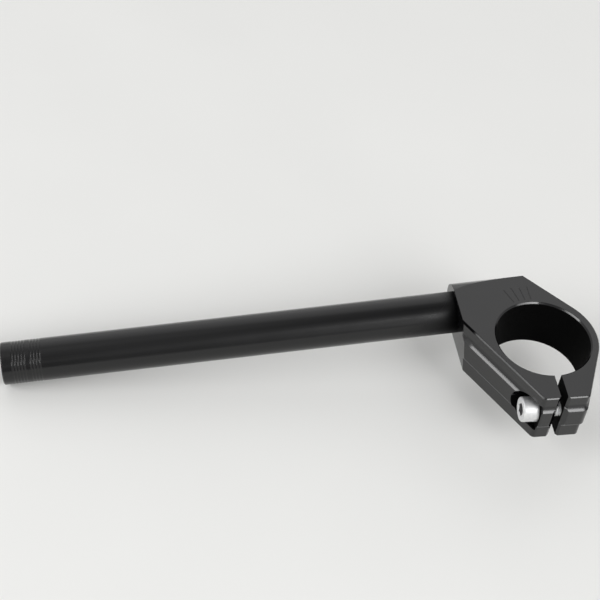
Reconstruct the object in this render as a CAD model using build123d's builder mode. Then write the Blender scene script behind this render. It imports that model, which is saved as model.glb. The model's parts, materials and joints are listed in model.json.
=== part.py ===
"""Clip-on handlebar: a split clamp for a fork tube with a plain bar tube set into it.

Frame: origin on the fork axis at half the clamp's height, +Z up along the fork,
the bar runs towards -X (outboard) and droops, and the clamp's ears face -Y.
Lengths in millimetres, angles in degrees.
"""
from build123d import *
import os
from math import cos, radians, sin

# Fork bore and ring, whose outer wall is set back a little so that it is thicker at the rear
fork_diameter = 50.0
bore_chamfer = 0.85
ring_wall = 4.65
ring_shift = 1.25
clamp_height = 29.8
edge_break = 0.6

# Plan of the clamp: each side is a line, given by the angle of its outward normal
flank_angle = 209.2
flank_wall = 4.15
front_angle = 272.0
inboard_angle = -23.6
slant_angle = 41.5
ear_length = 15.95
outer_ear_corner = 2.8
inner_ear_corner = 2.5

# Height steps of the outer wall: a raised band between two reliefs, with sloping ledges
relief_height = 9.0
ledge = 1.1
foot_height = 9.2

# Bar: place, lean and tube
bar_droop_angle = 7.2
bar_setback = 8.9
face_reach = 13.4
boss_wall = 3.95
boss_lap = 2.0
bar_diameter = 22.2
bar_wall = 4.0
bar_length = 239.0
spigot_diameter = 21.0
spigot_length = 22.0
bond_gap = 0.05
bar_end_chamfer = 0.6

# Vee grooves turned into the bar near its free end, with one left out in the middle
groove_pitch = 1.58
groove_width = 0.9
groove_depth = 0.25
groove_start = 5.9
groove_places = [0, 1, 2, 3, 4, 6, 7, 8, 9]

# Pinch slit, screw and its pocket
pinch_turn_angle = 0.8
slit_offset = 1.2
slit_width = 3.7
slit_mouth = 1.3
slit_round = 1.0
seat_wall = 8.6
screw_setback = 6.5
screw_drop = 0.6
screw_diameter = 8.0
screw_length = 20.0
screw_tip_chamfer = 0.8
screw_hole_gap = 0.25
thread_gap = 0.05
thread_spare = 2.0
head_diameter = 13.0
head_height = 8.0
head_edge = 0.8
socket_across_flats = 6.0
socket_depth_hex = 4.0
pocket_gap = 2.4

# Index marks on the top face, for setting the bar's angle
mark_count = 4
mark_step_angle = 7.0
mark_first_angle = 90.0
mark_length = 9.6
mark_width = 0.4
mark_depth = 0.15
mark_margin = 1.6

# Places worked out from the sizes above
bore_radius = fork_diameter / 2
ring_radius = bore_radius + ring_wall
half_height = clamp_height / 2
ear_reach = bore_radius + ear_length
bar_radius = bar_diameter / 2
boss_radius = bar_radius + boss_wall
bar_y = bore_radius + bar_setback
face_x = -(bore_radius + face_reach)
beyond = 4 * clamp_height

flank_side = (flank_angle, bore_radius + flank_wall)
front_side = (front_angle, ear_reach)
inboard_side = (inboard_angle, ring_radius + ring_shift * sin(radians(inboard_angle)))
slant_reach = ring_radius + ring_shift * sin(radians(slant_angle))
slant_side = (slant_angle, slant_reach)
rear_side = (90.0, bar_y + boss_lap)
outboard_side = (180.0, -face_x + half_height)


def meet(first, second):
    """Plan point where two sides cross, each an angle of its normal and a distance."""
    a, b = radians(first[0]), radians(second[0])
    span = sin(b - a)
    x = (first[1] * sin(b) - second[1] * sin(a)) / span
    y = (second[1] * cos(a) - first[1] * cos(b)) / span
    return (x, y)


def on_ring(angle):
    """Plan point of the ring's outer wall at an angle."""
    return (ring_radius * cos(radians(angle)), ring_shift + ring_radius * sin(radians(angle)))


def slit_bend(wall, side):
    """Plan points where a slit wall's rounded corner leaves the wall and reaches the bore."""
    middle_x = wall + side * slit_round
    middle_y = -((bore_radius + slit_round) ** 2 - middle_x**2) ** 0.5
    shrink = bore_radius / (bore_radius + slit_round)
    return (wall, middle_y), (middle_x * shrink, middle_y * shrink)


# Planes: the bar's own axis, square to the clamp's outboard face, and the pinch screw's
bar_outward = Vector(-cos(radians(bar_droop_angle)), 0, -sin(radians(bar_droop_angle)))
face_plane = Plane(origin=(face_x, bar_y, 0), x_dir=(0, 1, 0), z_dir=bar_outward)
pinch_frame = Plane.XY.rotated((0, 0, -pinch_turn_angle))
seat_x = slit_offset - slit_width / 2 - seat_wall
screw_y = -(ear_reach - screw_setback)
seat_plane = Plane(
    origin=pinch_frame.from_local_coords(Vector(seat_x, screw_y, -screw_drop)),
    x_dir=pinch_frame.y_dir,
    z_dir=-pinch_frame.x_dir,
)

# Clamp: one block of aluminium, milled all round
with BuildPart() as clamp_body:
    with BuildSketch(Plane.XY.offset(half_height - edge_break)) as outline:
        with BuildLine():
            Polyline(
                meet(slant_side, rear_side),
                meet(rear_side, outboard_side),
                meet(outboard_side, flank_side),
                meet(flank_side, front_side),
                meet(front_side, inboard_side),
                on_ring(inboard_angle),
            )
            CenterArc((0, ring_shift), ring_radius, inboard_angle, slant_angle - inboard_angle)
            Line(on_ring(slant_angle), meet(slant_side, rear_side))
        make_face()
        outer_corner = outline.vertices().sort_by_distance(meet(flank_side, front_side))[0]
        fillet(outer_corner, outer_ear_corner)
        inner_corner = outline.vertices().sort_by_distance(meet(front_side, inboard_side))[0]
        fillet(inner_corner, inner_ear_corner)
    # Outer wall from the top down: edge break, relief, ledge out, raised band, ledge in, relief
    extrude(amount=edge_break, taper=45)
    extrude(outline.sketch, amount=edge_break - relief_height)
    extrude(clamp_body.faces().sort_by(Axis.Z)[0], amount=ledge, taper=-45)
    band_height = clamp_height - relief_height - ledge - foot_height
    extrude(clamp_body.faces().sort_by(Axis.Z)[0], amount=band_height)
    extrude(clamp_body.faces().sort_by(Axis.Z)[0], amount=ledge, taper=45)
    extrude(clamp_body.faces().sort_by(Axis.Z)[0], amount=foot_height - ledge)
    # Round boss about the bar, ended by the slanted side and the top and bottom faces
    with BuildSketch(face_plane):
        Circle(boss_radius)
    extrude(amount=-beyond)
    split(bisect_by=Plane.XY.offset(half_height), keep=Keep.BOTTOM)
    split(bisect_by=Plane.XY.offset(-half_height), keep=Keep.TOP)
    slant_plane = Plane.XY.rotated((0, 0, slant_angle))
    with BuildSketch(Plane(origin=(0, 0, 0), x_dir=slant_plane.x_dir, z_dir=-slant_plane.y_dir)):
        with BuildLine():
            Polyline(
                (slant_reach - edge_break, half_height),
                (slant_reach, half_height - edge_break),
                (slant_reach, half_height - relief_height),
                (slant_reach + ledge, half_height - relief_height - ledge),
                (slant_reach + ledge, foot_height - half_height),
                (slant_reach, foot_height - ledge - half_height),
                (slant_reach, -half_height),
                (slant_reach + beyond, -half_height),
                (slant_reach + beyond, half_height),
                close=True,
            )
        make_face()
    extrude(amount=beyond, both=True, mode=Mode.SUBTRACT)
    # Outboard face, square to the bar, and the blind socket that the bar's spigot is bonded into
    split(bisect_by=face_plane, keep=Keep.BOTTOM)
    with BuildSketch(face_plane):
        Circle(spigot_diameter / 2 + bond_gap)
    extrude(amount=-spigot_length, mode=Mode.SUBTRACT)
    # Fork bore
    Cylinder(bore_radius, 2 * clamp_height, mode=Mode.SUBTRACT)
    bore_rims = clamp_body.edges().filter_by(GeomType.CIRCLE)
    bore_rims = bore_rims.filter_by(lambda e: abs(e.radius - bore_radius) < edge_break / 10)
    chamfer(bore_rims, bore_chamfer)
    # Pinch slit with a small vee at its mouth and rounded corners at the bore
    with BuildSketch(pinch_frame.offset(-clamp_height)):
        with BuildLine():
            vee_y = slit_mouth - ear_reach
            vee_run = 2 * (slit_mouth + ledge)
            slit_left = slit_offset - slit_width / 2
            slit_right = slit_offset + slit_width / 2
            left_start, left_end = slit_bend(slit_left, -1)
            right_start, right_end = slit_bend(slit_right, 1)
            Polyline(
                left_start,
                (slit_left, vee_y),
                (slit_left - vee_run, vee_y - vee_run),
                (slit_right + vee_run, vee_y - vee_run),
                (slit_right, vee_y),
                right_start,
            )
            TangentArc(right_start, right_end, tangent=(0, 1))
            Polyline(right_end, (right_end[0], 0), (left_end[0], 0), left_end)
            TangentArc(left_start, left_end, tangent=(0, 1))
        make_face()
    extrude(amount=2 * clamp_height, mode=Mode.SUBTRACT)
    # Screw pocket, open to the front and to the flank, then the screw's holes
    pocket_radius = head_diameter / 2 + pocket_gap
    with BuildSketch(seat_plane):
        with Locations((0, -screw_drop)):
            Circle(pocket_radius)
        with Locations((-beyond / 2, -screw_drop)):
            Rectangle(beyond, 2 * pocket_radius)
    extrude(amount=beyond, mode=Mode.SUBTRACT)
    with BuildSketch(seat_plane):
        Circle(screw_diameter / 2 + screw_hole_gap)
    extrude(amount=-(seat_wall + slit_width / 2), mode=Mode.SUBTRACT)
    with BuildSketch(seat_plane):
        Circle(screw_diameter / 2 + thread_gap)
    extrude(amount=-(screw_length + thread_spare), mode=Mode.SUBTRACT)
    # Index marks, engraved as radial lines behind the bore
    mark_middle = bore_radius + bore_chamfer + mark_margin + mark_length / 2
    with BuildSketch(Plane.XY.offset(half_height)):
        for index in range(mark_count):
            with PolarLocations(mark_middle, 1, start_angle=mark_first_angle + index * mark_step_angle):
                Rectangle(mark_length, mark_width)
    extrude(amount=-mark_depth, mode=Mode.SUBTRACT)
clamp_body.part.label = "clamp_body"

# Bar: one drawn tube, with a spigot turned at one end and rings at the free one
with BuildPart() as bar_tube:
    with BuildSketch(face_plane):
        Circle(bar_radius)
    extrude(amount=bar_length)
    with BuildSketch(face_plane):
        Circle(spigot_diameter / 2)
    extrude(amount=-spigot_length)
    with BuildSketch(face_plane.offset(-spigot_length)):
        Circle(bar_radius - bar_wall)
    extrude(amount=spigot_length + bar_length, mode=Mode.SUBTRACT)
    free_end = bar_tube.faces().sort_by(Axis.X)[0]
    chamfer(free_end.edges(), bar_end_chamfer)
    with BuildSketch(Plane(origin=face_plane.origin, x_dir=bar_outward, z_dir=(0, 1, 0))):
        for place in groove_places:
            groove_middle = bar_length - groove_start - place * groove_pitch
            with Locations((groove_middle, bar_radius)):
                Polygon(
                    (-groove_width, groove_depth),
                    (0, -groove_depth),
                    (groove_width, groove_depth),
                    align=None,
                )
    revolve(axis=Axis(face_plane.origin, bar_outward), mode=Mode.SUBTRACT)
bar_tube.part.label = "bar_tube"

# Pinch screw: socket head cap screw, seated in the pocket and threaded into the inboard ear
with BuildPart() as pinch_screw:
    with BuildSketch(seat_plane):
        Circle(head_diameter / 2)
    extrude(amount=head_height)
    chamfer(pinch_screw.faces().sort_by(Axis.X)[0].edges(), head_edge)
    with BuildSketch(seat_plane):
        Circle(screw_diameter / 2)
    extrude(amount=-screw_length)
    chamfer(pinch_screw.faces().sort_by(Axis.X)[-1].edges(), screw_tip_chamfer)
    with BuildSketch(seat_plane.offset(head_height)):
        RegularPolygon(socket_across_flats / 2, 6, major_radius=False)
    extrude(amount=-socket_depth_hex, mode=Mode.SUBTRACT)
pinch_screw.part.label = "pinch_screw"

os.makedirs("parts", exist_ok=True)
export_step(clamp_body.part, "parts/clamp_body.step")
export_step(bar_tube.part, "parts/bar_tube.step")
export_step(pinch_screw.part, "parts/pinch_screw.step")
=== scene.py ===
# %% [markdown]
# Clip-on handlebar: the looks
#
# A clip-on is a short handlebar that clamps straight onto a motorbike's fork tube. It is three
# pieces of metal: a milled clamp, a bar tube bonded into it, and a screw that pinches the clamp.
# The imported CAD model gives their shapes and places. This lesson dresses them: it gives each piece
# its finish, rebuilds the screw with a real thread, and sets up the floor, the light and the camera.

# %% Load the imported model
import json
import math
import bmesh
import bpy
from mathutils import Matrix, Vector


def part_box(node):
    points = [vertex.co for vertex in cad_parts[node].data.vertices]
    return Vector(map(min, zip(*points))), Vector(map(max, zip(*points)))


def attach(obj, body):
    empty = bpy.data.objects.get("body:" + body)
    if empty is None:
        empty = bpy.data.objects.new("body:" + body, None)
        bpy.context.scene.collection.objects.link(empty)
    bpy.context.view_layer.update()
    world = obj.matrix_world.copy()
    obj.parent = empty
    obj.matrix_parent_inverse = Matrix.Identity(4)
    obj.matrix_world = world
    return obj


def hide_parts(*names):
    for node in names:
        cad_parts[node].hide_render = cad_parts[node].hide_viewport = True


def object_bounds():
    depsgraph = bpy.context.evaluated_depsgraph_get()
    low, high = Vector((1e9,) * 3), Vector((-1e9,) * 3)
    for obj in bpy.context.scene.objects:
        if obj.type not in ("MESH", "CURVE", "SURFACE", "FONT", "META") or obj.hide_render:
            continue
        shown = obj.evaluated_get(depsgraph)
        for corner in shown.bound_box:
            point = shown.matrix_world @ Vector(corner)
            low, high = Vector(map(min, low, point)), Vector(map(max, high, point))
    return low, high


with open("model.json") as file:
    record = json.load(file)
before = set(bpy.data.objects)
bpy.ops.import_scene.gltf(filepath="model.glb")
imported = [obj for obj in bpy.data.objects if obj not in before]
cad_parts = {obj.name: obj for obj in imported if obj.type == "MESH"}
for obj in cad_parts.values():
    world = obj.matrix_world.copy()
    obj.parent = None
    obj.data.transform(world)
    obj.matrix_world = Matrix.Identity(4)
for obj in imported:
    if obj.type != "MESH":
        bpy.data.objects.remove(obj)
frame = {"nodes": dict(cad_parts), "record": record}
cad_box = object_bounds()
nodes = frame["nodes"]
mounts = {mount["name"]: mount for mount in frame["record"]["mounts"]}
MM = 0.001  # one millimetre in metres
for name in sorted(nodes):
    low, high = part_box(name)
    print(name, "size in mm:", [round(side / MM, 1) for side in high - low])

# %% [markdown]
# A few helpers serve every material. Colours are picked as sRGB hex values, as a paint chart gives
# them, but the shader works with linear light, so one function converts them. Another one adds a
# shader node, sets its values and links its inputs, which keeps each material as short as a recipe.
# Two small ones start an empty material and turn a size in millimetres into a texture scale.

# %% Helpers for colour and shader nodes


def linear(hex_colour):
    """Linear RGBA of an sRGB hex colour."""
    parts = [int(hex_colour[i:i + 2], 16) / 255 for i in (1, 3, 5)]
    light = [p / 12.92 if p <= 0.04045 else ((p + 0.055) / 1.055) ** 2.4 for p in parts]
    return (*light, 1.0)


def add_node(tree, kind, settings=None, inputs=None):
    """Adds one shader node, sets its own values, and sets or links its inputs."""
    node = tree.nodes.new("ShaderNode" + kind)
    for name, value in (settings or {}).items():
        setattr(node, name, value)
    for socket, value in (inputs or {}).items():
        if isinstance(value, bpy.types.NodeSocket):
            tree.links.new(value, node.inputs[socket])
        else:
            node.inputs[socket].default_value = value
    return node


def new_material(name):
    """An empty node material and its output node."""
    material = bpy.data.materials.new(name)
    material.use_nodes = True
    material.node_tree.nodes.clear()
    return material, material.node_tree, add_node(material.node_tree, "OutputMaterial")


def per_metre(size_mm):
    """Texture scale at which one cell of a pattern is that many millimetres."""
    return 1 / (size_mm * MM)


print("mid grey #808080 is", round(linear("#808080")[0], 3), "in linear light")

# %% [markdown]
# The clamp is milled from aluminium and black anodised. Anodising grows a clear, hard layer of oxide
# and fills it with dye: the dye itself is nearly black, so all the greys that the eye sees are
# reflections in the smooth layer. A metal shader would look like polished gunmetal, so the layer is
# made as a dark dielectric. Sealed oxide holds water, so its refractive index is about 1.6.

# %% Grain, dye and mill lines of the clamp
clamp_finish, tree, output = new_material("anodised_aluminium_milled")
place = add_node(tree, "TexCoord")
spot = add_node(tree, "SeparateXYZ", inputs={"Vector": place.outputs["Object"]})
# The milled skin is etched before anodising: a matt grain of microns, drawn at 0.5 mm to show.
etch_grain = add_node(tree, "TexNoise", inputs={
    "Vector": place.outputs["Object"], "Scale": per_metre(0.5), "Detail": 3.0})
# The dye takes a little unevenly over the block, in clouds of about 14 mm.
dye_cloud = add_node(tree, "TexNoise", inputs={
    "Vector": place.outputs["Object"], "Scale": per_metre(14.0), "Detail": 2.0})
dye = add_node(tree, "ValToRGB", inputs={"Fac": dye_cloud.outputs["Fac"]})
dye.color_ramp.elements[0].position = 0.3
dye.color_ramp.elements[0].color = linear("#060607")
dye.color_ramp.elements[1].position = 0.7
dye.color_ramp.elements[1].color = linear("#0b0b0c")
# An end mill went round the side walls and left faint level lines, drawn 0.8 mm apart.
mill_space = add_node(tree, "VectorMath", settings={"operation": "MULTIPLY"}, inputs={
    0: place.outputs["Object"], 1: (0.02, 0.02, 1.0)})
mill_lines = add_node(tree, "TexNoise", inputs={
    "Vector": mill_space.outputs["Vector"], "Scale": per_metre(0.8), "Detail": 2.0})
print("clamp:", clamp_finish.name, "has its grain, dye and lines")

# %% [markdown]
# The walls of the fork bore, the slit and the pocket for the screw's head are nearly black in the
# photograph. Turned, sawn and deeply cut walls are duller than the outside, so they are made rough
# here, and their black is painted shade of these recesses: a near-black colour, with Metallic taking
# their reflection away. They could get a material of their own, face by face, but the CAD mesh stays
# as it is. So a mask finds them by their place: the bore by its distance from the fork's axis, the
# slit by the planes of its walls, the pocket by its distance from the screw's axis.

# %% Mask of the fork bore
# The mesh is made of flat facets, so a wall may lie a few hundredths of a millimetre off its place.
MARGIN = 0.05
BORE_RADIUS = mounts["fork_clamp"]["dims"]["r_mm"]
off_axis = add_node(tree, "VectorMath", settings={"operation": "MULTIPLY"}, inputs={
    0: place.outputs["Object"], 1: (1.0, 1.0, 0.0)})
reach = add_node(tree, "VectorMath", settings={"operation": "LENGTH"}, inputs={
    0: off_axis.outputs["Vector"]})
in_bore = add_node(tree, "Math", settings={"operation": "LESS_THAN"}, inputs={
    0: reach.outputs["Value"], 1: (BORE_RADIUS + MARGIN) * MM})
print("bore: walls within", BORE_RADIUS, "mm of the fork's axis")

# %% Mask of the slit
# The screw seats at this point, and this is the way out along its axis, square to the slit.
SEAT = Vector((-9.730, -34.318, -0.6)) * MM
OUTWARD = Vector((-0.99990, 0.01396, 0.0))
SLIT_MIDDLE, SLIT_WIDTH = 1.2, 3.7
inward = add_node(tree, "VectorMath", settings={"operation": "DOT_PRODUCT"}, inputs={
    0: place.outputs["Object"], 1: -OUTWARD})
near_slit = add_node(tree, "Math", settings={"operation": "COMPARE"}, inputs={
    0: inward.outputs["Value"], 1: SLIT_MIDDLE * MM, 2: (SLIT_WIDTH / 2 + MARGIN) * MM})
print("slit: walls", SLIT_WIDTH, "mm apart")

# %% Mask of the screw's pocket
# The pocket is a slot: round behind the screw, and open to the front.
POCKET_RADIUS = 8.9
REARWARD = Vector((0.0, 0.0, 1.0)).cross(-OUTWARD)
from_seat = add_node(tree, "VectorMath", settings={"operation": "SUBTRACT"}, inputs={
    0: place.outputs["Object"], 1: SEAT})
outboard = add_node(tree, "VectorMath", settings={"operation": "DOT_PRODUCT"}, inputs={
    0: from_seat.outputs["Vector"], 1: OUTWARD})
past_seat = add_node(tree, "Math", settings={"operation": "GREATER_THAN"}, inputs={
    0: outboard.outputs["Value"], 1: -MARGIN * MM})
behind = add_node(tree, "VectorMath", settings={"operation": "DOT_PRODUCT"}, inputs={
    0: from_seat.outputs["Vector"], 1: REARWARD})
behind_only = add_node(tree, "Math", settings={"operation": "MAXIMUM"}, inputs={
    0: behind.outputs["Value"], 1: 0.0})
above_seat = add_node(tree, "SeparateXYZ", inputs={"Vector": from_seat.outputs["Vector"]})
section = add_node(tree, "CombineXYZ", inputs={
    "X": behind_only.outputs["Value"], "Y": above_seat.outputs["Z"]})
off_slot = add_node(tree, "VectorMath", settings={"operation": "LENGTH"}, inputs={
    0: section.outputs["Vector"]})
in_slot = add_node(tree, "Math", settings={"operation": "LESS_THAN"}, inputs={
    0: off_slot.outputs["Value"], 1: (POCKET_RADIUS + MARGIN) * MM})
in_pocket = add_node(tree, "Math", settings={"operation": "MULTIPLY"}, inputs={
    0: in_slot.outputs["Value"], 1: past_seat.outputs["Value"]})
print("pocket:", 2 * POCKET_RADIUS, "mm high, from the screw's seat outwards")

# %% Join the masks
EARS_START = -24.0
slit_or_pocket = add_node(tree, "Math", settings={"operation": "MAXIMUM"}, inputs={
    0: near_slit.outputs["Value"], 1: in_pocket.outputs["Value"]})
in_ears = add_node(tree, "Math", settings={"operation": "LESS_THAN"}, inputs={
    0: spot.outputs["Y"], 1: EARS_START * MM})
ear_cuts = add_node(tree, "Math", settings={"operation": "MULTIPLY"}, inputs={
    0: slit_or_pocket.outputs["Value"], 1: in_ears.outputs["Value"]})
dull_and_shaded = add_node(tree, "Math", settings={"operation": "MAXIMUM"}, inputs={
    0: in_bore.outputs["Value"], 1: ear_cuts.outputs["Value"]})
print("slit and pocket count in front of y", EARS_START, "mm, the bore all round")

# %% [markdown]
# A thin light line shows where the raised band ends below. It is a painted highlight: that one edge
# is painted a lighter grey. The shader can find an edge by itself: the Bevel node gives the normal
# that a rounded edge would have, and where that leaves the flat normal there is an edge. A level
# picks this edge out of all the others.

# %% Painted highlight at the band's foot, and the colour of the clamp
BAND_FOOT, LINE_REACH = -5.7, 1.0
# The painted highlight is drawn 1 mm wide.
wide_edge = add_node(tree, "Bevel", settings={"samples": 6}, inputs={"Radius": LINE_REACH * MM})
flat_side = add_node(tree, "NewGeometry")
turned = add_node(tree, "VectorMath", settings={"operation": "DOT_PRODUCT"}, inputs={
    0: wide_edge.outputs["Normal"], 1: flat_side.outputs["Normal"]})
at_edge = add_node(tree, "MapRange", inputs={
    "Value": turned.outputs["Value"], "From Min": 0.998, "From Max": 0.93, "To Max": 0.8})
at_foot = add_node(tree, "Math", settings={"operation": "COMPARE"}, inputs={
    0: spot.outputs["Z"], 1: BAND_FOOT * MM, 2: LINE_REACH * MM})
# The painted highlight: a light grey line along the edge at the band's foot.
painted_highlight = add_node(tree, "Math", settings={"operation": "MULTIPLY"}, inputs={
    0: at_edge.outputs["Result"], 1: at_foot.outputs["Value"]})
colour = add_node(tree, "Mix", settings={"data_type": "RGBA"}, inputs={
    "Factor": painted_highlight.outputs["Value"], "A": dye.outputs["Color"], "B": linear("#868688")})
# Painted shade: the bore, the slit and the pocket get a near-black colour.
shade = add_node(tree, "Mix", settings={"data_type": "RGBA"}, inputs={
    "Factor": dull_and_shaded.outputs["Value"], "A": colour.outputs["Result"], "B": linear("#141414")})
sheen = add_node(tree, "MapRange", inputs={
    "Value": etch_grain.outputs["Fac"], "From Min": 0.3, "From Max": 0.7,
    "To Min": 0.10, "To Max": 0.15})
dullness = add_node(tree, "Mix", inputs={
    "Factor": dull_and_shaded.outputs["Value"], "A": sheen.outputs["Result"], "B": 0.9})
print("clamp: smooth skin with roughness 0.10 to 0.15, dull cuts with 0.9")

# %% [markdown]
# The long flank's ledge and its top edge don't gleam right from the corner. Perhaps the cutter ran in
# over the first millimetres and left them matt. A mask along the flank does it, and a smooth step
# from matt to shiny looks more like a cutter's path than a hard border would.

# %% Matt run-in of the flank's edges
# The flank's outward direction, its distance from the fork's axis, and the width of its broken edge.
FLANK_SIDE, FLANK_REACH, BROKEN_EDGE = Vector((-0.873, -0.488, 0.0)), 29.15, 1.0
# The outboard face's place along x, and the length of the run-in from it.
OUTBOARD_FACE, RUN_IN = -38.4, 6.5
# Heights of the ledge's foot, and of the plain wall between the ledge and the broken edge.
LEDGE_FOOT, WALL_START, WALL_END = 4.6, 8.0, 13.9
flank_run = Vector((0.0, 0.0, 1.0)).cross(FLANK_SIDE)
corner_y = (OUTBOARD_FACE * FLANK_SIDE.x - FLANK_REACH) / -FLANK_SIDE.y
corner_place = flank_run.dot(Vector((OUTBOARD_FACE, corner_y, 0.0)))
to_flank = add_node(tree, "VectorMath", settings={"operation": "DOT_PRODUCT"}, inputs={
    0: place.outputs["Object"], 1: FLANK_SIDE})
on_flank = add_node(tree, "Math", settings={"operation": "GREATER_THAN"}, inputs={
    0: to_flank.outputs["Value"], 1: (FLANK_REACH - BROKEN_EDGE) * MM})
along_flank = add_node(tree, "VectorMath", settings={"operation": "DOT_PRODUCT"}, inputs={
    0: place.outputs["Object"], 1: flank_run})
near_corner = add_node(tree, "MapRange", settings={"interpolation_type": "SMOOTHSTEP"}, inputs={
    "Value": along_flank.outputs["Value"], "From Min": (corner_place + RUN_IN) * MM,
    "From Max": (corner_place + RUN_IN / 2) * MM})
high_up = add_node(tree, "Math", settings={"operation": "GREATER_THAN"}, inputs={
    0: spot.outputs["Z"], 1: LEDGE_FOOT * MM})
on_wall = add_node(tree, "Math", settings={"operation": "COMPARE"}, inputs={
    0: spot.outputs["Z"], 1: (WALL_START + WALL_END) / 2 * MM, 2: (WALL_END - WALL_START) / 2 * MM})
on_edges = add_node(tree, "Math", settings={"operation": "SUBTRACT", "use_clamp": True}, inputs={
    0: high_up.outputs["Value"], 1: on_wall.outputs["Value"]})
flank_edges = add_node(tree, "Math", settings={"operation": "MULTIPLY"}, inputs={
    0: on_edges.outputs["Value"], 1: on_flank.outputs["Value"]})
matt = add_node(tree, "Math", settings={"operation": "MULTIPLY"}, inputs={
    0: flank_edges.outputs["Value"], 1: near_corner.outputs["Result"]})
print("flank: matt edges for about", RUN_IN, "mm from its corner at y", round(corner_y, 1), "mm")

# %% [markdown]
# The flank's top edge gleams less than its ledge, and next to the corner it is black. Perhaps it was
# broken with a file, whose fine scratches make it satin. A pattern of scratches would be too fine to
# show, so roughness stands for it. The black next to the corner is a painted dark reflection, where
# the edge loses its glassy layer. The roughness and the run-in's length were matched to the grey
# levels of the photograph.

# %% Filed top edge of the flank, and its painted dark run-in
past_wall = add_node(tree, "Math", settings={"operation": "GREATER_THAN"}, inputs={
    0: spot.outputs["Z"], 1: WALL_END * MM})
flank_top_edge = add_node(tree, "Math", settings={"operation": "MULTIPLY"}, inputs={
    0: past_wall.outputs["Value"], 1: on_flank.outputs["Value"]})
satin = add_node(tree, "Mix", inputs={
    "Factor": flank_top_edge.outputs["Value"], "A": dullness.outputs["Result"], "B": 0.32})
roughness = add_node(tree, "Mix", inputs={
    "Factor": matt.outputs["Value"], "A": satin.outputs["Result"], "B": 0.6})
# Next to the corner the top edge is painted black: a painted dark reflection.
painted_dark_edge = add_node(tree, "Math", settings={"operation": "MULTIPLY"}, inputs={
    0: flank_top_edge.outputs["Value"], 1: near_corner.outputs["Result"]})
# Painted shade and a painted dark reflection: Metallic turns the recesses and the edge's run-in black.
painted_black = add_node(tree, "Math", settings={"operation": "MAXIMUM"}, inputs={
    0: dull_and_shaded.outputs["Value"], 1: painted_dark_edge.outputs["Value"]})
print("flank: filed edge above z", WALL_END, "mm")

# %% [markdown]
# An end mill has a slightly round corner, so above the ledge the upper wall runs out in a curve, and
# the light on the ledge fades upwards instead of ending in a hard line. The CAD wall is flat, so a
# bump by height stands in for the curve: it bends the light as if the wall came forward at the ledge.
# The rounded edges, the curve, the mill lines and the grain then bend the normals one after the other.
# Metallic with the near-black colour has no glassy reflection: it paints the bore, the slit and the
# pocket black as shade, and the top edge's run-in black as a dark reflection.

# %% Curve above the ledge
LEDGE_LEVEL, CURVE_HEIGHT, CURVE_DEPTH = 5.9, 3.5, 1.6
climb = add_node(tree, "MapRange", inputs={
    "Value": spot.outputs["Z"],
    "From Min": (LEDGE_LEVEL + CURVE_HEIGHT) * MM, "From Max": LEDGE_LEVEL * MM})
run_out = add_node(tree, "Math", settings={"operation": "POWER"}, inputs={
    0: climb.outputs["Result"], 1: 2.0})
at_face = add_node(tree, "Math", settings={"operation": "LESS_THAN"}, inputs={
    0: spot.outputs["X"], 1: (OUTBOARD_FACE + 4 * MARGIN) * MM})
plain_wall = add_node(tree, "Math", settings={"operation": "MAXIMUM"}, inputs={
    0: dull_and_shaded.outputs["Value"], 1: at_face.outputs["Value"]})
curve = add_node(tree, "Mix", inputs={
    "Factor": plain_wall.outputs["Value"], "A": run_out.outputs["Value"], "B": 0.0})
print("curve: from the ledge at", LEDGE_LEVEL, "mm up by", CURVE_HEIGHT, "mm")

# %% Shader of the clamp
# How far every edge is rounded, and how deep the mill lines and the grain may go.
EDGE_RADIUS, SKIN_DEPTH = 0.4, 0.05
soft_edge = add_node(tree, "Bevel", settings={"samples": 6}, inputs={"Radius": EDGE_RADIUS * MM})
curved = add_node(tree, "Bump", inputs={
    "Height": curve.outputs["Result"], "Strength": 1.0, "Distance": CURVE_DEPTH * MM,
    "Normal": soft_edge.outputs["Normal"]})
milled = add_node(tree, "Bump", inputs={
    "Height": mill_lines.outputs["Fac"], "Strength": 0.02, "Distance": SKIN_DEPTH * MM,
    "Normal": curved.outputs["Normal"]})
dimples = add_node(tree, "Bump", inputs={
    "Height": etch_grain.outputs["Fac"], "Strength": 0.02, "Distance": SKIN_DEPTH * MM,
    "Normal": milled.outputs["Normal"]})
skin = add_node(tree, "BsdfPrincipled", inputs={
    "Base Color": shade.outputs["Result"], "Roughness": roughness.outputs["Result"],
    "Metallic": painted_black.outputs["Value"], "IOR": 1.60, "Normal": dimples.outputs["Normal"]})
tree.links.new(skin.outputs["BSDF"], output.inputs["Surface"])
nodes["clamp_body"].data.materials.clear()
nodes["clamp_body"].data.materials.append(clamp_finish)
print("clamp:", clamp_finish.name, "with", len(tree.nodes), "nodes")

# %% [markdown]
# The bar is a drawn tube. Drawing through a die leaves fine lines along it, and the black anodised
# layer keeps them, so light spreads across the bar more than along it. The lines come from a noise
# that is stretched along the tube, which needs the tube's own direction: the axis of its grip seat.

# %% Black anodised aluminium, drawn
bar_finish, tree, output = new_material("anodised_aluminium_drawn")
place = add_node(tree, "TexCoord")
seat = mounts["grip_seat"]
bar_axis = Vector(seat["axis"])
bar_droop = math.asin(-bar_axis.z)
along_bar = add_node(tree, "Mapping", settings={"vector_type": "TEXTURE"}, inputs={
    "Vector": place.outputs["Object"], "Rotation": (0.0, -bar_droop, 0.0)})
stretched = add_node(tree, "VectorMath", settings={"operation": "MULTIPLY"}, inputs={
    0: along_bar.outputs["Vector"], 1: (0.01, 1.0, 1.0)})
# Die lines are hundredths of a millimetre wide; they are drawn 0.7 mm apart so that they show.
die_lines = add_node(tree, "TexNoise", inputs={
    "Vector": stretched.outputs["Vector"], "Scale": per_metre(0.7), "Detail": 3.0})
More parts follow.
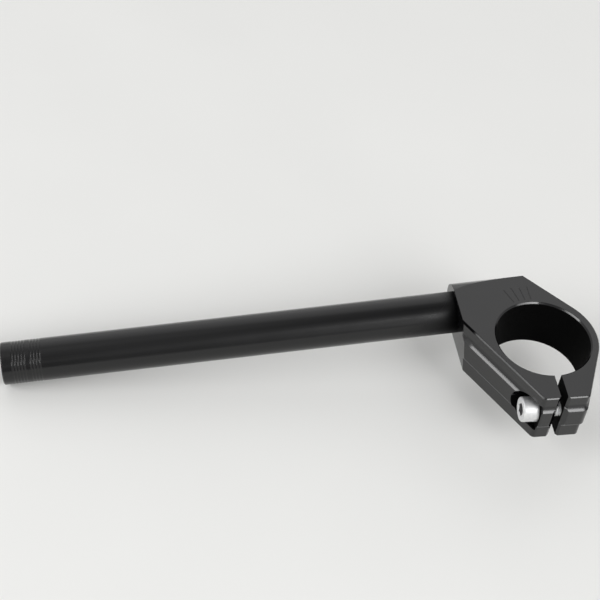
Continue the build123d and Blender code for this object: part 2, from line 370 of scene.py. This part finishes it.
# Handling leaves faint patches of about 25 mm where the sheen differs.
handled = add_node(tree, "TexNoise", inputs={
    "Vector": place.outputs["Object"], "Scale": per_metre(25.0), "Detail": 3.0})
dye = add_node(tree, "ValToRGB", inputs={"Fac": die_lines.outputs["Fac"]})
dye.color_ramp.elements[0].position = 0.3
dye.color_ramp.elements[0].color = linear("#050506")
dye.color_ramp.elements[1].position = 0.7
dye.color_ramp.elements[1].color = linear("#09090a")
sheen = add_node(tree, "MapRange", inputs={
    "Value": handled.outputs["Fac"], "From Min": 0.3, "From Max": 0.7,
    "To Min": 0.17, "To Max": 0.23})
print("bar:", bar_finish.name, "droops by", round(math.degrees(bar_droop), 1), "degrees")

# %% [markdown]
# Towards the clamp the bar's gloss dies away to black. The photograph doesn't show why: it may be dust
# and bonding resin in a corner that no cloth reaches, or only the clamp's own shade. This is painted
# shade: the clamp's shade on the bar is painted as a dark, rough metal, and a mask by the distance
# from the clamp fades it in. Its two lengths were matched to the photograph: short on top of the bar,
# long in front. The unseen underside gets the long one.

# %% Painted shade on the bar at the clamp
SHADE_ON_TOP, SHADE_IN_FRONT = 8.0, 50.0
seat_start = Vector(seat["pos_m"]).dot(bar_axis) - seat["dims"]["length_mm"] / 2 * MM
outwards = add_node(tree, "VectorMath", settings={"operation": "DOT_PRODUCT"}, inputs={
    0: place.outputs["Object"], 1: bar_axis})
from_clamp = add_node(tree, "Math", settings={"operation": "SUBTRACT"}, inputs={
    0: outwards.outputs["Value"], 1: seat_start})
bar_side = add_node(tree, "NewGeometry")
upwards = add_node(tree, "SeparateXYZ", inputs={"Vector": bar_side.outputs["Normal"]})
shade_length = add_node(tree, "MapRange", inputs={
    "Value": upwards.outputs["Z"], "From Min": 1.0, "From Max": 0.0,
    "To Min": SHADE_ON_TOP * MM, "To Max": SHADE_IN_FRONT * MM})
way_out = add_node(tree, "Math", settings={"operation": "DIVIDE"}, inputs={
    0: from_clamp.outputs["Value"], 1: shade_length.outputs["Result"]})
way_in = add_node(tree, "Math", settings={"operation": "SUBTRACT", "use_clamp": True}, inputs={
    0: 1.0, 1: way_out.outputs["Value"]})
# Painted shade of the clamp on the bar, darkest at the clamp.
clamp_shade = add_node(tree, "Math", settings={"operation": "POWER"}, inputs={
    0: way_in.outputs["Value"], 1: 2.0})
roughness = add_node(tree, "Mix", inputs={
    "Factor": clamp_shade.outputs["Value"], "A": sheen.outputs["Result"], "B": 0.6})
print("film: from", round(seat_start / MM, 1), "mm along the bar")

# %% [markdown]
# The rings near the bar's free end are turned with a pointed tool, and their edges are slightly round.
# A bevel modifier could round them, but the CAD mesh stays as it is, so the Bevel node does it. The
# die lines come on top, and the shader joins colour, sheen and the painted shade.

# %% Shader of the bar
RING_EDGE = 0.25
soft_edge = add_node(tree, "Bevel", settings={"samples": 6}, inputs={"Radius": RING_EDGE * MM})
lines = add_node(tree, "Bump", inputs={
    "Height": die_lines.outputs["Fac"], "Strength": 0.06, "Distance": SKIN_DEPTH * MM,
    "Normal": soft_edge.outputs["Normal"]})
skin = add_node(tree, "BsdfPrincipled", inputs={
    "Base Color": dye.outputs["Color"], "Roughness": roughness.outputs["Result"],
    "Metallic": clamp_shade.outputs["Value"], "IOR": 1.5, "Normal": lines.outputs["Normal"]})
tree.links.new(skin.outputs["BSDF"], output.inputs["Surface"])
nodes["bar_tube"].data.materials.clear()
nodes["bar_tube"].data.materials.append(bar_finish)
print("bar:", bar_finish.name, "with", len(tree.nodes), "nodes")

# %% [markdown]
# The screw is a socket head cap screw, M8, zinc plated: bright, slightly soft, silver. Its CAD
# solid has a plain shank, so a new mesh with a real thread stands for it. The mesh is one closed
# skin of rings about the screw's axis: each ring has the same number of points, so neighbours join
# by quads. Only the distance of each point from the axis and its place along it change from ring to
# ring, which makes the head, the hexagon and the helix with the same few lines.

# %% Rings of the cap screw
SPOKES = 96
HEAD_RADIUS, HEAD_HEIGHT, HEAD_EDGE = 6.5, 8.0, 0.8
HEX_FLAT, HEX_DEPTH, HEX_MOUTH = 3.0, 4.0, 3.6
SHANK_RADIUS, SHANK_LENGTH, TIP_CHAMFER = 4.0, 20.0, 0.8
PITCH, THREAD_DEPTH, NECK = 1.25, 0.68, 1.6
# Shares of half a pitch that the flat crest and the sloping flank of the thread take.
CREST_SHARE, FLANK_SHARE = 0.12, 0.70
ROWS_A_TURN = 10
SHARP_ANGLE = 28  # degrees from which an edge between two faces stays sharp
# A ring this small closes an end. The socket ends in a drilled cone, and the head's foot is chamfered.
CLOSING_RADIUS, DRILL_POINT, FOOT_CHAMFER = 0.02, 1.2, 0.15


def hexagon(turn):
    """Distance of a hexagon's side from its centre, in the direction of a turn."""
    sixth = math.radians(60)
    return HEX_FLAT / math.cos(turn % sixth - sixth / 2)


def thread(turn, along):
    """Radius of the threaded shank at a turn and a distance below the seat."""
    phase = (along / PITCH - turn / math.tau) % 1.0
    flank = min(1.0, max(0.0, (abs(2 * phase - 1) - CREST_SHARE) / FLANK_SHARE))
    ramp = min(1.0, max(0.0, (along - NECK) / PITCH))
    cut = SHANK_RADIUS - THREAD_DEPTH * flank * ramp
    return min(cut, SHANK_RADIUS - TIP_CHAMFER + SHANK_LENGTH - along)


turns = [math.tau * spoke / SPOKES for spoke in range(SPOKES)]
rings = []
for radius, depth in ((CLOSING_RADIUS, HEX_DEPTH + DRILL_POINT), (HEX_FLAT * 0.96, HEX_DEPTH)):
    rings.append([(radius, HEAD_HEIGHT - depth) for turn in turns])
rings.append([(hexagon(turn), HEAD_HEIGHT - HEX_DEPTH) for turn in turns])
slope = math.tan(math.radians(30))  # the hexagon's mouth is countersunk
rings.append([(hexagon(turn), HEAD_HEIGHT - (HEX_MOUTH - hexagon(turn)) * slope) for turn in turns])
for radius, height in ((HEX_MOUTH, HEAD_HEIGHT), (HEAD_RADIUS - HEAD_EDGE, HEAD_HEIGHT),
                       (HEAD_RADIUS - 0.55 * HEAD_EDGE, HEAD_HEIGHT - 0.10 * HEAD_EDGE),
                       (HEAD_RADIUS - 0.10 * HEAD_EDGE, HEAD_HEIGHT - 0.55 * HEAD_EDGE),
                       (HEAD_RADIUS, HEAD_HEIGHT - HEAD_EDGE), (HEAD_RADIUS, FOOT_CHAMFER),
                       (HEAD_RADIUS - FOOT_CHAMFER, 0.0), (SHANK_RADIUS, 0.0)):
    rings.append([(radius, height) for turn in turns])
rows = round(SHANK_LENGTH / PITCH * ROWS_A_TURN)
for row in range(1, rows + 1):
    along = SHANK_LENGTH * row / rows
    rings.append([(thread(turn, along), -along) for turn in turns])
rings.append([(CLOSING_RADIUS, -SHANK_LENGTH) for turn in turns])
print("cap screw:", len(rings), "rings of", SPOKES, "points")

# %% Join the rings into one skin
skin_mesh = bmesh.new()
across = OUTWARD.cross(Vector((0, 0, 1)))
upward = across.cross(OUTWARD)
loops = []
for ring in rings:
    loops.append([
        skin_mesh.verts.new(SEAT + MM * (OUTWARD * height + radius * (
            across * math.cos(turn) + upward * math.sin(turn))))
        for turn, (radius, height) in zip(turns, ring)])
for first, second in zip(loops, loops[1:]):
    for i in range(SPOKES):
        j = (i + 1) % SPOKES
        skin_mesh.faces.new((first[i], first[j], second[j], second[i]))
skin_mesh.faces.new(reversed(loops[0]))
skin_mesh.faces.new(loops[-1])
bmesh.ops.recalc_face_normals(skin_mesh, faces=skin_mesh.faces)
screw_data = bpy.data.meshes.new("cap_screw")
skin_mesh.to_mesh(screw_data)
skin_mesh.free()
cap_screw = bpy.data.objects.new("cap_screw", screw_data)
bpy.context.scene.collection.objects.link(cap_screw)
for face in screw_data.polygons:
    face.use_smooth = True
screw_data.set_sharp_from_angle(angle=math.radians(SHARP_ANGLE))
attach(cap_screw, "root")
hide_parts("pinch_screw")
print("cap screw:", len(screw_data.polygons), "faces")

# %% [markdown]
# Zinc plating is a thin bright metal coat with a faint blue tint. It isn't a mirror: the plating
# bath leaves fine crystals, so the highlight is a little soft and varies in small clouds. The head's
# side is turned, and its end face is forged and rougher, so the shader tells them by their normal.

# %% Zinc plated steel
screw_finish, tree, output = new_material("zinc_plated_steel")
place = add_node(tree, "TexCoord")
# Plating crystals are microns wide; the clouds they make are about 1.5 mm across.
cloud = add_node(tree, "TexNoise", inputs={
    "Vector": place.outputs["Object"], "Scale": per_metre(1.5), "Detail": 4.0})
tone = add_node(tree, "ValToRGB", inputs={"Fac": cloud.outputs["Fac"]})
tone.color_ramp.elements[0].position = 0.3
tone.color_ramp.elements[0].color = linear("#dddee0")
tone.color_ramp.elements[1].position = 0.7
tone.color_ramp.elements[1].color = linear("#ececeb")
sheen = add_node(tree, "MapRange", inputs={
    "Value": cloud.outputs["Fac"], "From Min": 0.3, "From Max": 0.7,
    "To Min": 0.50, "To Max": 0.57})
side = add_node(tree, "NewGeometry")
facing_out = add_node(tree, "VectorMath", settings={"operation": "DOT_PRODUCT"}, inputs={
    0: side.outputs["Normal"], 1: OUTWARD})
end_face = add_node(tree, "MapRange", inputs={
    "Value": facing_out.outputs["Value"], "From Min": 0.6, "From Max": 0.95})
roughness = add_node(tree, "Mix", inputs={
    "Factor": end_face.outputs["Result"], "A": sheen.outputs["Result"], "B": 0.85})
skin = add_node(tree, "BsdfPrincipled", inputs={
    "Base Color": tone.outputs["Color"], "Metallic": 1.0, "Roughness": roughness.outputs["Result"]})
tree.links.new(skin.outputs["BSDF"], output.inputs["Surface"])
screw_data.materials.append(screw_finish)
print("screw:", screw_finish.name, "with", len(tree.nodes), "nodes")

# %% [markdown]
# The screw's socket is a deep recess, and its shade is painted: a second material slot on the screw's
# mesh gives those faces a dark, rough steel; they are the first three rows of faces, because the rings
# start at the bottom of the socket.

# %% Painted shade in the screw's socket
socket_shade, tree, output = new_material("steel_with_painted_shade")
place = add_node(tree, "TexCoord")
# Specks about 0.4 mm across vary the tone.
specks = add_node(tree, "TexNoise", inputs={
    "Vector": place.outputs["Object"], "Scale": per_metre(0.4), "Detail": 3.0})
tone = add_node(tree, "ValToRGB", inputs={"Fac": specks.outputs["Fac"]})
tone.color_ramp.elements[0].position = 0.3
tone.color_ramp.elements[0].color = linear("#8e8e8f")
tone.color_ramp.elements[1].position = 0.7
tone.color_ramp.elements[1].color = linear("#aaaaac")
skin = add_node(tree, "BsdfPrincipled", inputs={
    "Base Color": tone.outputs["Color"], "Metallic": 1.0, "Roughness": 0.5})
tree.links.new(skin.outputs["BSDF"], output.inputs["Surface"])
screw_data.materials.append(socket_shade)
SOCKET_ROWS = 3
# These faces of the socket get the painted shade.
for face in screw_data.polygons[:SOCKET_ROWS * SPOKES]:
    face.material_index = 1
print("socket:", socket_shade.name, "on", SOCKET_ROWS * SPOKES, "faces")

# %% [markdown]
# The part is held by its clamp, so its bar droops and only the bar's free end comes down to the
# floor. The floor is a plain pale sheet of paper, big enough to fill every view. Far from the part it
# lies close to the lamps and would burn out to white, so it is a graded sheet, as photographers use:
# pale in the middle and greyer outwards.

# %% Floor
FLOOR_RADIUS = 6.0
floor_level = cad_box[0].z
floor_mesh = bmesh.new()
bmesh.ops.create_circle(floor_mesh, cap_ends=True, segments=96, radius=FLOOR_RADIUS,
                        matrix=Matrix.Translation((0, 0, floor_level)))
floor_data = bpy.data.meshes.new("studio_floor")
floor_mesh.to_mesh(floor_data)
floor_mesh.free()
studio_floor = bpy.data.objects.new("studio_floor", floor_data)
bpy.context.scene.collection.objects.link(studio_floor)
paper, tree, output = new_material("matt_paper")
place = add_node(tree, "TexCoord")
fibre = add_node(tree, "TexNoise", inputs={
    "Vector": place.outputs["Object"], "Scale": per_metre(120.0), "Detail": 2.0})
tone = add_node(tree, "ValToRGB", inputs={"Fac": fibre.outputs["Fac"]})
tone.color_ramp.elements[0].color = linear("#e8e8e6")
tone.color_ramp.elements[1].color = linear("#ededeb")
# The sheet starts to grey at the near distance in metres and is greyest from the far one.
NEAR, FAR = 0.45, 1.6
distance = add_node(tree, "VectorMath", settings={"operation": "LENGTH"}, inputs={
    0: place.outputs["Object"]})
far_off = add_node(tree, "MapRange", inputs={
    "Value": distance.outputs["Value"], "From Min": NEAR, "From Max": FAR})
graded = add_node(tree, "Mix", settings={"data_type": "RGBA"}, inputs={
    "Factor": far_off.outputs["Result"], "A": tone.outputs["Color"], "B": linear("#c4c4c2")})
skin = add_node(tree, "BsdfPrincipled", inputs={
    "Base Color": graded.outputs["Result"], "Roughness": 0.9, "Specular IOR Level": 0.05})
tree.links.new(skin.outputs["BSDF"], output.inputs["Surface"])
floor_data.materials.append(paper)
print("floor at", round(floor_level / MM, 1), "mm")

# %% [markdown]
# Black shiny things are lit by what they reflect. Two softboxes stand to the left and to the front
# right, with the camera in the gap between them: each slanted facet of the clamp then catches one of
# the boxes, and the flat sides stay dark. Real softboxes are brightest near their lamp, so these fade
# to one side, which gives the highlights soft ends. They stand far off to light the floor evenly.

# %% Softboxes
LAMP_DISTANCE = 3.4


def softbox(name, direction, width, height, radiance, far_edge):
    """An area light aimed at the clamp, from where its left edge shows far_edge of its full light."""
    lamp = bpy.data.lights.new(name, "AREA")
    lamp.shape, lamp.size, lamp.size_y = "RECTANGLE", width, height
    lamp.energy = radiance * math.pi * width * height
    lamp.use_nodes = True
    lamp.node_tree.nodes.clear()
    across = add_node(lamp.node_tree, "NewGeometry").outputs["Parametric"]
    side = add_node(lamp.node_tree, "SeparateXYZ", inputs={"Vector": across})
    fade = add_node(lamp.node_tree, "MapRange", inputs={
        "Value": side.outputs["X"], "To Min": 1.0, "To Max": far_edge})
    glow = add_node(lamp.node_tree, "Emission", inputs={"Strength": fade.outputs["Result"]})
    lamp_output = add_node(lamp.node_tree, "OutputLight")
    lamp.node_tree.links.new(glow.outputs["Emission"], lamp_output.inputs["Surface"])
    box = bpy.data.objects.new(name, lamp)
    bpy.context.scene.collection.objects.link(box)
    box.location = Vector(direction).normalized() * LAMP_DISTANCE
    box.rotation_mode = "QUATERNION"
    box.rotation_quaternion = Vector(direction).to_track_quat("Z", "Y")
    print(name, "at", [round(v, 2) for v in box.location], round(lamp.energy), "W")


softbox("softbox_front_right", (0.46, -0.64, 0.60), 2.2, 1.3, 8.5, 0.15)
softbox("softbox_left", (-0.752, -0.300, 0.585), 2.55, 1.2, 6.0, 0.5)

# %% [markdown]
# The room is an even grey. A few soft patches on it stand for what is around the part in a studio:
# a pale backdrop, which the top face mirrors, the glow of the front softbox, a pale wall and a pale
# ceiling on the left, and darker places where the camera, a wall and the rest of the ceiling are. The
# round bar mirrors the patches as bands along it, and they were matched to those bands. Each patch is
# a direction, the cosines of its rim and its core, and the light that it adds.

# %% Room light
patches = {
    "backdrop": ((0.20, 0.80, 0.56), 0.72, 0.97, 0.50),
    "glow of the front softbox": ((0.25, -0.68, 0.69), 0.94, 0.99, 0.35),
    "front softbox on the wall": ((0.40, -0.87, 0.30), 0.92, 0.975, 0.70),
    "pale wall on the left": ((-0.98, -0.10, 0.15), 0.80, 0.96, 0.35),
    "pale ceiling on the left": ((-0.35, 0.10, 0.93), 0.935, 0.98, 0.18),
    "shade of the camera": ((-0.40, -0.60, 0.69), 0.90, 0.98, -0.14),
    "dark wall in front": ((-0.12, -0.97, 0.20), 0.955, 0.99, -0.18),
    "dark ceiling": ((0.28, -0.22, 0.93), 0.92, 0.985, -0.26),
    "dark ceiling behind": ((0.30, 0.10, 0.95), 0.925, 0.985, -0.24),
}
room = bpy.data.worlds.new("studio_room")
bpy.context.scene.world = room
room.use_nodes = True
tree = room.node_tree
tree.nodes.clear()
output = add_node(tree, "OutputWorld")
place = add_node(tree, "TexCoord")
ROOM_LEVEL = 0.50
level = ROOM_LEVEL
for name, (direction, rim, core, light) in patches.items():
    nearness = add_node(tree, "VectorMath", settings={"operation": "DOT_PRODUCT"}, inputs={
        0: place.outputs["Generated"], 1: Vector(direction).normalized()})
    patch = add_node(tree, "MapRange", settings={"interpolation_type": "SMOOTHSTEP"}, inputs={
        "Value": nearness.outputs["Value"], "From Min": rim, "From Max": core,
        "To Min": 0.0, "To Max": light})
    level = add_node(tree, "Math", settings={"operation": "ADD"}, inputs={
        0: level, 1: patch.outputs["Result"]}).outputs["Value"]
    print("room:", name, "adds", light)
air = add_node(tree, "Background", inputs={"Color": (1.0, 1.0, 1.0, 1.0), "Strength": level})
tree.links.new(air.outputs["Background"], output.inputs["Surface"])

# %% [markdown]
# The camera stands where the photograph was taken: a fit of the clamp's and the bar's edges gave its
# place, its lean and its focal length. The three rows below are the directions that the picture's
# right side, its lower side and the line of sight have in the part's own frame.

# %% Camera
IMAGE_SIDE = 600
FOCAL_PIXELS = 1616.85
SENSOR_WIDTH = 36.0
camera_place = Vector((-281.92, -531.25, 610.96)) * MM
right = Vector((0.98157, -0.14899, 0.11970))
down = Vector((-0.02569, -0.72347, -0.68988))
forward = Vector((0.18938, 0.67409, -0.71396))
lens = bpy.data.cameras.new("camera")
lens.sensor_width = SENSOR_WIDTH
lens.lens = FOCAL_PIXELS / IMAGE_SIDE * SENSOR_WIDTH
camera = bpy.data.objects.new("camera", lens)
bpy.context.scene.collection.objects.link(camera)
stance = Matrix((right, -down, -forward)).transposed()
camera.matrix_world = Matrix.Translation(camera_place) @ stance.to_4x4()
bpy.context.scene.camera = camera
bpy.context.scene.view_settings.view_transform = "Standard"
print("camera: lens", round(lens.lens, 2), "mm")
